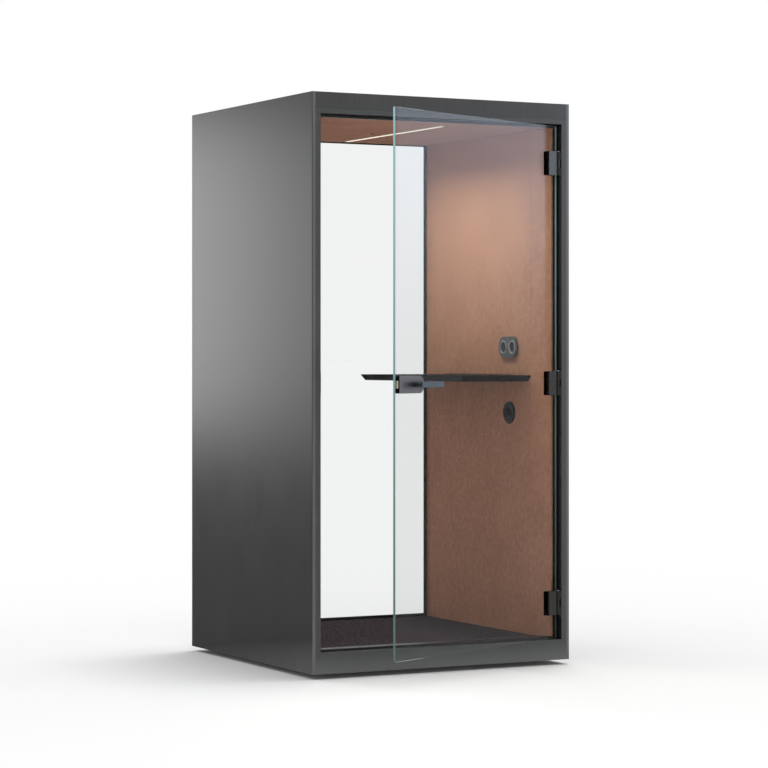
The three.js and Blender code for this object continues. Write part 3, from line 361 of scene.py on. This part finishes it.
# Pressed polyester felt: short fibres in every direction, drawn coarser than life so that they show,
# over slow clouds of shade from uneven dyeing, with the faint sheen of a fibre surface.
def makeFelt(name, dark, light):
    felt = {"fibre": 3.2 * mm, "fleck": 24 * mm, "cloud": 160 * mm, "fibreShare": 0.35, "cloudShare": 0.6,
            "range": (0.6, 1.35), "lift": 0.3 * mm, "bump": 0.05}
    material, tree, coords = startMaterial(name)
    place = coords["Object"]
    fibre = noise(tree, place, felt["fibre"], Detail=4.0, Roughness=0.65, Distortion=0.8)
    fleck = noise(tree, place, felt["fleck"], Detail=3.0)
    cloud = noise(tree, place, felt["cloud"])
    near = reckon(tree, "MULTIPLY_ADD", fibre, felt["fibreShare"], fleck)
    total = reckon(tree, "MULTIPLY_ADD", cloud, felt["cloudShare"], near)
    tone = mixed(tree, ranged(tree, total, *felt["range"]), dark, light)
    lift = bump(tree, fibre, felt["bump"], felt["lift"])
    endMaterial(tree, {"Roughness": 0.95, "Sheen Weight": 0.06, "Sheen Roughness": 0.5,
                       "Specular IOR Level": 0.1, "Base Color": tone, "Normal": lift})
    return material


wallFelt = makeFelt("pressed_felt_terracotta", "a5765a", "c29177")
ceilingFelt = makeFelt("pressed_felt_terracotta_ceiling", "9a7159", "b68971")


# Tufted polyamide carpet: tight loops of charcoal yarn, with paler plum-coloured flecks that are longer
# towards the door. The hollows between the loops are darker with painted shade.
def makeCarpet(name):
    carpet = {"loop": 7 * mm, "fleckMm": (8, 18, 8), "dark": "0d0a0d", "light": "584a55",
              "range": (0.36, 0.68), "hollowShade": 0.45, "hollowShadeFrom": 0.9}
    material, tree, coords = startMaterial(name)
    place = coords["Object"]
    loops = addNode(tree, "ShaderNodeTexVoronoi", {"Vector": place, "Scale": 1 / carpet["loop"]})
    fleck = noise(tree, stretched(tree, place, carpet["fleckMm"]), 1.0)
    yarn = mixed(tree, ranged(tree, fleck, *carpet["range"]), carpet["dark"], carpet["light"])
    # painted shade in the hollows between the loops
    hollowShade = ranged(tree, loops.outputs["Distance"], 0.0, carpet["hollowShadeFrom"], 1.0, carpet["hollowShade"])
    endMaterial(tree, {"Roughness": 1.0, "Specular IOR Level": 0.05, "Sheen Weight": 0.06,
                       "Base Color": scaled(tree, yarn, hollowShade)})
    return material


carpetYarn = makeCarpet("tufted_polyamide_charcoal")


# Opal polycarbonate with the light on: warm white, slightly uneven.
def makeDiffuser(name):
    diffuser = {"body": "d8d2c4", "dim": "f3ead2", "bright": "fff8e6", "grain": 30 * mm, "strength": 0.85}
    material, tree, coords = startMaterial(name)
    fine = noise(tree, coords["Object"], diffuser["grain"])
    tone = mixed(tree, fine, diffuser["dim"], diffuser["bright"])
    endMaterial(tree, {"Roughness": 0.45, "Base Color": linear(diffuser["body"]), "Emission Color": tone,
                       "Emission Strength": diffuser["strength"]})
    return material


opal = makeDiffuser("opal_polycarbonate_lit")
print("materials made")

# Finish of each solid
heights = ("bottom", "middle", "top")
feet = ["front_left_foot", "front_right_foot", "rear_left_foot", "rear_right_foot", "centre_foot"]
hingeCastings = [f"hinge_{part}_{height}" for part in ("leaf", "clamp", "plate") for height in heights]
hingePins = [f"hinge_pin_{height}" for height in heights]
finishOf = {
    panelPaint: ["left_side_panel", "right_side_panel"],
    fasciaPaint: ["roof_panel", "head_fascia"],
    framePaint: ["door_frame_head", "door_frame_sill", "door_frame_left", "door_frame_right"],
    blackPaint: ["rear_frame_left", "rear_frame_right", "rear_frame_head", "rear_frame_sill"],
    rubber: [*feet, "door_seal"],
    doorGlass: ["door_glass"],
    rearGlass: ["rear_glass"],
    woolCore: ["left_wall_core", "right_wall_core"],
    deckBoard: ["floor_deck"],
    aluminium: ["light_channel"],
    thresholdMetal: ["threshold_strip"],
    opal: ["light_diffuser"],
    blackPlastic: ["fan_housing", "fan_rotor", "cable_port"],
    brownPlastic: ["ceiling_sensor"],
    greyPlastic: ["socket_plate"],
    outletPlastic: ["socket_module"],
    laminate: ["table_top"],
    lockMetal: ["power_supply", "lock_case", "lock_back_plate"],
    leverMetal: ["outer_lever", "inner_lever"],
    boltMetal: ["latch_bolt"],
    steel: ["table_bracket", "strike_plate", "lock_spindle", *hingePins],
    hingeMetal: hingeCastings,
    wallFelt: ["left_felt_panel", "right_felt_panel", "left_front_felt", "right_front_felt"],
    ceilingFelt: ["ceiling_panel"],
    carpetYarn: ["carpet"],
}
for material, names in finishOf.items():
    for name in names:
        nodes[name].data.materials.clear()
        nodes[name].data.materials.append(material)


# A small round on the sharp edges, so that they catch the light as real ones do.
def softenEdges(names, width):
    edge = {"weld": 0.01 * mm, "segments": 2, "sharpest": math.radians(40)}
    for name in names:
        weld = nodes[name].modifiers.new("weld", "WELD")
        weld.merge_threshold = edge["weld"]
        bevel = nodes[name].modifiers.new("edge", "BEVEL")
        bevel.width = width
        bevel.segments = edge["segments"]
        bevel.limit_method = "ANGLE"
        bevel.angle_limit = edge["sharpest"]
        bevel.harden_normals = True


softenEdges(["lock_case", "lock_back_plate", "outer_lever", "inner_lever"], 1.0 * mm)
softenEdges(["table_top", "head_fascia", "threshold_strip"], 0.8 * mm)
print("finishes set")


# Felt lining: the board's face is a grid whose rim is rounded over, and whose flat swells slowly by a
# fraction of a millimetre, as sin along the height times sin along the depth.
# The front strips open outwards towards the door, so their face leans by a share of the depth.
def feltBoard(name, node, side, holes=()):
    board = {"cell": 12 * mm, "round": 2 * mm, "thick": 12 * mm, "swell": 0.25 * mm, "calm": 30 * mm,
             "waveY": 9.1, "waveZ": 6.7}
    low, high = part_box(node)
    inner = low.x if side > 0 else high.x
    lean = high.x - low.x - board["thick"]
    through = [edge for hole in holes for edge in hole]
    along = gridLines(low.y, high.y, board["cell"], board["round"], [e[0] for e in through])
    up = gridLines(low.z, high.z, board["cell"], board["round"], [e[1] for e in through])
    y, z = np.meshgrid(along, up, indexing="ij")
    rim = np.minimum(np.minimum(y - low.y, high.y - y), np.minimum(z - low.z, high.z - z))
    waves = np.sin(y * board["waveY"]) * np.sin(z * board["waveZ"])
    swell = board["swell"] * waves * np.clip(rim / board["calm"], 0, 1)
    depth = fallBack(rim, board["round"]) + board["swell"] - swell
    opening = lean * (high.y - y) / (high.y - low.y)
    front = np.stack([inner + side * (depth + opening), y, z], -1)
    back = np.stack([inner + side * (board["thick"] + opening), y, z], -1)
    middleY = (along[:-1] + along[1:])[:, None] / 2
    middleZ = (up[:-1] + up[1:])[None, :] / 2
    keep = np.ones((len(along) - 1, len(up) - 1), bool)
    for (y0, z0), (y1, z1) in holes:
        keep &= ~((middleY > y0) & (middleY < y1) & (middleZ > z0) & (middleZ < z1))
    piece = slab(name, front, back, keep, wallFelt)
    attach(piece, "pod")
    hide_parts(node)


# What the right lining leaves open for a fitting: its box drawn in, so that plate, flange or table hide it.
def openingIn(node, inset):
    low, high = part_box(node)
    return (low.y + inset, low.z + inset), (high.y - inset, high.z - inset)


fittings = {"cable_port": 14 * mm, "socket_plate": 10 * mm, "table_bracket": 16 * mm}
openings = [openingIn(node, inset) for node, inset in fittings.items()]
feltBoard("felt_wall_left", "left_felt_panel", -1)
feltBoard("felt_wall_right", "right_felt_panel", 1, openings)
feltBoard("felt_front_left", "left_front_felt", -1)
feltBoard("felt_front_right", "right_front_felt", 1)
print("wall felt made")


# Ceiling felt: a flat grid left open for the light line's trough, the sensor and the air slots.
def ceilingBoard():
    board = {"cell": 14 * mm, "edge": 1 * mm}
    trough = {"flange": 7 * mm, "play": 0.5 * mm}
    vent = {"slots": 7, "pitch": 15 * mm, "width": 8 * mm, "reach": 54 * mm}
    sensorLip = 2.5 * mm
    low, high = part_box("ceiling_panel")
    lampLow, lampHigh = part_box("light_channel")
    inset, play = trough["flange"] - trough["play"], trough["play"]
    fanLow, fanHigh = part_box("fan_rotor")
    fanX, fanY = (fanLow.x + fanHigh.x) / 2, (fanLow.y + fanHigh.y) / 2
    sensorLow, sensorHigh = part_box("ceiling_sensor")
    gaps = [(lampLow.x + inset, lampHigh.x - inset, lampLow.y - play, lampHigh.y + play),
            (sensorLow.x + sensorLip, sensorHigh.x - sensorLip,
             sensorLow.y + sensorLip, sensorHigh.y - sensorLip)]
    for i in range(vent["slots"]):
        offset = (i - (vent["slots"] - 1) / 2) * vent["pitch"]
        half = math.sqrt(vent["reach"] ** 2 - offset ** 2)
        middle = fanY + offset
        gaps.append((fanX - half, fanX + half, middle - vent["width"] / 2, middle + vent["width"] / 2))
    across = gridLines(low.x, high.x, board["cell"], board["edge"], [g[i] for g in gaps for i in (0, 1)])
    along = gridLines(low.y, high.y, board["cell"], board["edge"], [g[i] for g in gaps for i in (2, 3)])
    x, y = np.meshgrid(across, along, indexing="ij")
    rim = np.minimum(np.minimum(x - low.x, high.x - x), np.minimum(y - low.y, high.y - y))
    front = np.stack([x, y, low.z + fallBack(rim, board["edge"])], -1)
    back = np.stack([x, y, np.full_like(x, high.z)], -1)
    middleX = (across[:-1] + across[1:])[:, None] / 2
    middleY = (along[:-1] + along[1:])[None, :] / 2
    keep = np.ones((len(across) - 1, len(along) - 1), bool)
    for x0, x1, y0, y1 in gaps:
        keep &= ~((middleX > x0) & (middleX < x1) & (middleY > y0) & (middleY < y1))
    piece = slab("felt_ceiling", front, back, keep, ceilingFelt)
    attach(piece, "pod")
    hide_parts("ceiling_panel")


ceilingBoard()
print("ceiling made")


# Carpet: a grid at the size of a tuft, whose height is the pile less a random share for each tuft.
# Its rows are stretched to the felt on both sides, which opens outwards near the door.
def carpetPile():
    pile = {"tuft": 6 * mm, "uneven": 2.2 * mm, "round": 3 * mm, "gap": 0.5 * mm, "seed": 11}
    low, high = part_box("carpet")
    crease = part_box("right_front_felt")[1].y
    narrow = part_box("right_felt_panel")[0].x - pile["gap"]
    share = gridLines(-1, 1, pile["tuft"] / high.x, pile["round"] / high.x)
    along = gridLines(low.y, high.y, pile["tuft"], pile["round"], [crease])
    s, y = np.meshgrid(share, along, indexing="ij")
    reach = narrow + (high.x - narrow) * np.clip((crease - y) / (crease - low.y), 0, 1)
    x = s * reach
    rim = np.minimum(np.minimum(reach - np.abs(x), high.y - y), y - low.y)
    random = np.random.default_rng(pile["seed"]).random(x.shape)
    top = high.z - pile["uneven"] * random - fallBack(np.clip(rim, 0, None), pile["round"])
    front = np.stack([x, y, top], -1)
    back = np.stack([x, y, np.full_like(x, low.z)], -1)
    keep = np.ones((len(share) - 1, len(along) - 1), bool)
    piece = slab("carpet_pile", front, back, keep, carpetYarn)
    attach(piece, "pod")
    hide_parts("carpet")


carpetPile()
print("carpet made")


# Light rings round the two outlets: a rounded ring, turned about the wall's normal.
def outletRings():
    ring = {"inner": 22.2, "outer": 27.3, "proud": 1.8, "bendPoints": 9, "steps": 40}
    spacing = 71 * mm
    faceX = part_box("socket_module")[0].x
    plateLow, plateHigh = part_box("socket_plate")
    middleY, middleZ = (plateLow.y + plateHigh.y) / 2, (plateLow.z + plateHigh.z) / 2
    bend = np.linspace(0, math.pi, ring["bendPoints"])
    middle, half = (ring["inner"] + ring["outer"]) / 2, (ring["outer"] - ring["inner"]) / 2
    profile = [(middle + half * math.cos(t), ring["proud"] * math.sin(t)) for t in bend]
    profile.append(profile[0])
    for name, side in (("outlet_ring_front", -1), ("outlet_ring_rear", 1)):
        centre = (faceX, middleY + side * spacing / 2, middleZ)
        points, faces = turned(centre, (-1, 0, 0), profile, ring["steps"])
        piece = makeMesh(name, points, faces, ringPlastic)
        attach(piece, "pod")


outletRings()
print("outlets dressed")


# Door seal: a half oval over a flat base, carried up the latch side, over the head and down the hinge side,
# with mitred corners.
def doorSeal():
    seal = {"width": 10 * mm, "base": 1 * mm, "steps": 12}
    low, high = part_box("door_seal")
    half = seal["width"] / 2
    crest = high.y - low.y - seal["base"]
    bend = np.linspace(0, math.pi, seal["steps"])
    oval = [(half * math.cos(a), seal["base"] + crest * math.sin(a)) for a in bend]
    section = [(half, 0), *oval, (-half, 0)]
    right, top = high.x - half, high.z - half
    path = [(-right, low.z, -1, 0), (-right, top, -1, 1), (right, top, 1, 1), (right, low.z, 1, 0)]
    rings = []
    for x, z, outX, outZ in path:
        rings.append([(x + a * outX, high.y - rise, z + a * outZ) for a, rise in section])
    piece = sweep("seal_bulb", np.array(rings), rubber)
    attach(piece, "pod")
    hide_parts("door_seal")


doorSeal()


# Dark end caps of the light line, a little proud of the ceiling.
def lineCaps():
    cap = {"long": 6 * mm, "proud": 1 * mm, "root": 2 * mm, "bevel": 0.8 * mm, "flange": 7 * mm}
    low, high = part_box("light_channel")
    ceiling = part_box("ceiling_panel")[0].z
    tip = ceiling - cap["proud"]
    x0, x1 = low.x + cap["flange"], high.x - cap["flange"]
    spans = {"line_cap_front": (low.y, low.y + cap["long"]), "line_cap_rear": (high.y - cap["long"], high.y)}
    levels = [(ceiling + cap["root"], 0), (tip + cap["bevel"], 0), (tip, cap["bevel"])]
    for name, (y0, y1) in spans.items():
        rings = []
        for z, inset in levels:
            rings.append([(x0 + inset, y0 + inset, z), (x1 - inset, y0 + inset, z),
                          (x1 - inset, y1 - inset, z), (x0 + inset, y1 - inset, z)])
        piece = sweep(name, np.array(rings), blackPlastic)
        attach(piece, "pod")


lineCaps()


# Black bead along the foot of the rear pane, just above the carpet.
def rearBead():
    bead = {"high": 13 * mm, "bevel": 1.5 * mm, "rise": 14 * mm, "flange": 72 * mm, "gap": 0.3 * mm}
    jambLow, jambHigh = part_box("rear_frame_right")
    foot = jambLow.z + bead["rise"]
    top = foot + bead["high"]
    y0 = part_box("rear_frame_sill")[0].y
    y1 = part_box("rear_glass")[0].y - bead["gap"]
    section = [(y0, foot), (y1, foot), (y1, top), (y0 + bead["bevel"], top), (y0, top - bead["bevel"])]
    reach = jambHigh.x - bead["flange"]
    rings = [[(x, y, z) for y, z in section] for x in (-reach, reach)]
    piece = sweep("rear_bead", np.array(rings), blackPaint)
    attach(piece, "pod")


rearBead()


# Where a node of the door lies, measured along the door and out from it as it stands open.
def doorBox(node):
    points = np.array([nodes[node].matrix_world @ v.co for v in nodes[node].data.vertices])
    local = np.stack([points @ np.array(doorAlong), points @ np.array(doorOut), points[:, 2]], -1)
    return local.min(0), local.max(0)


# Dark forend on the lock's end: a thin plate with an opening for the bolt, as four rings of corners.
def lockForend():
    forend = {"margin": 0.6 * mm, "proud": 0.8 * mm, "play": 0.6 * mm}
    low, high = doorBox("lock_case")
    boltLow, boltHigh = doorBox("latch_bolt")
    end = low[0]

    def corners(lowOut, highOut, lowZ, highZ, along):
        flat = [(lowOut, lowZ), (highOut, lowZ), (highOut, highZ), (lowOut, highZ)]
        middle = np.array(doorAlong) * along
        return [middle + np.array(doorOut) * out + np.array((0, 0, z)) for out, z in flat]

    m, p = forend["margin"], forend["play"]
    outer = [low[1] + m, high[1] - m, low[2] + m, high[2] - m]
    inner = [boltLow[1] - p, boltHigh[1] + p, boltLow[2] - p, boltHigh[2] + p]
    rings = np.array([corners(*outer, end), corners(*outer, end - forend["proud"]),
                      corners(*inner, end - forend["proud"]), corners(*inner, end)])
    count, around = rings.shape[:2]
    index = np.arange(count * around).reshape(count, around)
    after = np.roll(index, -1, axis=1)
    nextRing = np.roll(index, -1, axis=0)
    nextBoth = np.roll(after, -1, axis=0)
    faces = np.stack([index, after, nextBoth, nextRing], -1).reshape(-1, 4)
    piece = makeMesh("lock_forend", rings, faces, blackPlastic, smooth=False)
    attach(piece, "door")


lockForend()
print("seal, caps and forend made")


# Camera: level, at eye height, far off, so that upright edges stay upright
shot = {"place": (-4.999, -9.602, 1.234), "turn": -27.67, "lens": 123.39, "shiftY": -0.03505,
        "sensor": 36, "clipEnd": 2000}
cameraData = bpy.data.cameras.new("camera")
cameraData.sensor_width = shot["sensor"]
cameraData.lens = shot["lens"]
cameraData.shift_y = shot["shiftY"]
cameraData.clip_end = shot["clipEnd"]
camera = bpy.data.objects.new("camera", cameraData)
camera.location = shot["place"]
camera.rotation_euler = (math.radians(90), 0, math.radians(shot["turn"]))
bpy.context.scene.collection.objects.link(camera)
bpy.context.scene.camera = camera


# 1 for a ray that looks at the stage, directly, in a reflection or through glass, and 0 for one that lights
def looking(tree):
    path = addNode(tree, "ShaderNodeLightPath").outputs
    seen = reckon(tree, "MAXIMUM", path["Is Camera Ray"], path["Is Glossy Ray"])
    return reckon(tree, "MAXIMUM", seen, path["Is Transmission Ray"])


# World: a white studio for everything that looks at it, and a slightly brighter level for what it lights
def makeWorld():
    studio = {"seen": 1.0, "lighting": 1.1}
    world = bpy.data.worlds.new("studio")
    tree = emptyTree(world)
    level = ranged(tree, looking(tree), 0.0, 1.0, studio["lighting"], studio["seen"])
    light = addNode(tree, "ShaderNodeBackground", {"Color": (1, 1, 1, 1), "Strength": level})
    addNode(tree, "ShaderNodeOutputWorld", {"Surface": light.outputs[0]})
    bpy.context.scene.world = world


makeWorld()


# Floor: pale, takes the shadow, and looks white where nothing shades it
def makeFloor():
    floor = {"half": 600.0, "glow": 0.02, "colour": "cbcbcb"}
    material = bpy.data.materials.new("studio_floor_paint_white")
    tree = emptyTree(material)
    glow = reckon(tree, "MULTIPLY", looking(tree), floor["glow"])
    light = addNode(tree, "ShaderNodeEmission", {"Color": (1, 1, 1, 1), "Strength": glow})
    paint = addNode(tree, "ShaderNodeBsdfDiffuse", {"Color": linear(floor["colour"])})
    both = addNode(tree, "ShaderNodeAddShader", {0: light.outputs[0], 1: paint.outputs[0]})
    addNode(tree, "ShaderNodeOutputMaterial", {"Surface": both.outputs[0]})
    h = floor["half"]
    corners = np.array([(-h, -h, 0), (h, -h, 0), (h, h, 0), (-h, h, 0)])
    makeMesh("floor", corners, [(0, 1, 2, 3)], material, smooth=False)


makeFloor()


# Two cards for reflections, each seen from its front only: a dark one at the left, and at the right a pale
# blue glow that fades downwards and also shows through glass
def makeCard(name, card):
    material = bpy.data.materials.new("studio_card_" + name)
    tree = emptyTree(material)
    height = separate(tree, addNode(tree, "ShaderNodeTexCoord").outputs["Object"])["Z"]
    fadeLow, fadeHigh = card["fade"]
    fade = {"interpolation_type": "SMOOTHSTEP", "Value": height, "From Min": fadeLow, "From Max": fadeHigh}
    rise = addNode(tree, "ShaderNodeMapRange", fade).outputs[0]
    behind = addNode(tree, "ShaderNodeNewGeometry").outputs["Backfacing"]
    share = reckon(tree, "MULTIPLY", rise, reckon(tree, "SUBTRACT", 1.0, behind))
    clear = addNode(tree, "ShaderNodeBsdfTransparent").outputs[0]
    glow = {"Color": linear(card["colour"]), "Strength": card["strength"]}
    light = addNode(tree, "ShaderNodeEmission", glow).outputs[0]
    both = addNode(tree, "ShaderNodeMixShader", {0: share, 1: clear, 2: light})
    addNode(tree, "ShaderNodeOutputMaterial", {"Surface": both.outputs[0]})
    (x0, y0), (x1, y1), (z0, z1) = card["from"], card["to"], card["z"]
    corners = np.array([(x0, y0, z0), (x1, y1, z0), (x1, y1, z1), (x0, y0, z1)])
    piece = makeMesh("card_" + name, corners, [(0, 1, 2, 3)], material, smooth=False)
    for ray in ("camera", "diffuse", "volume_scatter", "shadow"):
        setattr(piece, "visible_" + ray, False)
    piece.visible_transmission = card["throughGlass"]


makeCard("dark", {"from": (-2.6, -2.6), "to": (-2.6, 0.9), "z": (-0.1, 3.2), "colour": "101214",
                  "strength": 1.0, "fade": (-0.2, -0.1), "throughGlass": False})
makeCard("glow", {"from": (6.1, -1.5), "to": (1.85, -1.5), "z": (0.8, 4.6), "colour": "ccd8ec",
                  "strength": 8.6, "fade": (0.94, 2.57), "throughGlass": True})


# Lamps: a softbox behind at the left, and the light that the ceiling line gives
def addLamp(name, lamp):
    data = bpy.data.lights.new(name, "AREA")
    data.shape = "RECTANGLE"
    data.size, data.size_y = lamp["size"]
    data.energy = lamp["power"]
    data.spread = math.radians(lamp["spread"])
    data.color = linear(lamp["colour"])[:3]
    piece = bpy.data.objects.new(name, data)
    piece.location = lamp["place"]
    aim = Vector(lamp["target"]) - Vector(lamp["place"])
    piece.rotation_euler = aim.to_track_quat("-Z", "Y").to_euler()
    piece.visible_camera = False
    piece.visible_transmission = False
    piece.visible_glossy = lamp["seenInGloss"]
    bpy.context.scene.collection.objects.link(piece)


addLamp("side_softbox", {"place": (-1.45, 2.65, 1.66), "target": (-0.575, 0.35, 1.45), "size": (1.2, 1.6),
                         "power": 10.6, "spread": 66, "colour": "ffffff", "seenInGloss": True})
lineLow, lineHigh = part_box("light_diffuser")
lineMiddle = (lineLow + lineHigh) / 2
lineWide, lineDrop = 26 * mm, 8 * mm
addLamp("ceiling_line", {"place": (lineMiddle.x, lineMiddle.y, lineLow.z - lineDrop),
                         "target": (lineMiddle.x, lineMiddle.y, 0),
                         "size": (lineWide, lineHigh.y - lineLow.y),
                         "power": 6.8, "spread": 150, "colour": "f4fae6", "seenInGloss": False})


# A high sun with a wide disc, from behind at the right, so that a soft shadow lies close to the base
def addSun():
    sun = {"rise": 79, "from": 18, "disc": 22, "power": 1.75, "far": 5}
    data = bpy.data.lights.new("overhead", "SUN")
    data.energy = sun["power"]
    data.angle = math.radians(sun["disc"])
    piece = bpy.data.objects.new("overhead", data)
    rise, turn = math.radians(sun["rise"]), math.radians(sun["from"])
    towards = Vector((math.cos(rise) * math.cos(turn), math.cos(rise) * math.sin(turn), math.sin(rise)))
    piece.rotation_euler = towards.to_track_quat("Z", "Y").to_euler()
    piece.location = towards * sun["far"]
    bpy.context.scene.collection.objects.link(piece)


addSun()
print("stage and lamps set")

bpy.context.scene.view_settings.view_transform = "Standard"
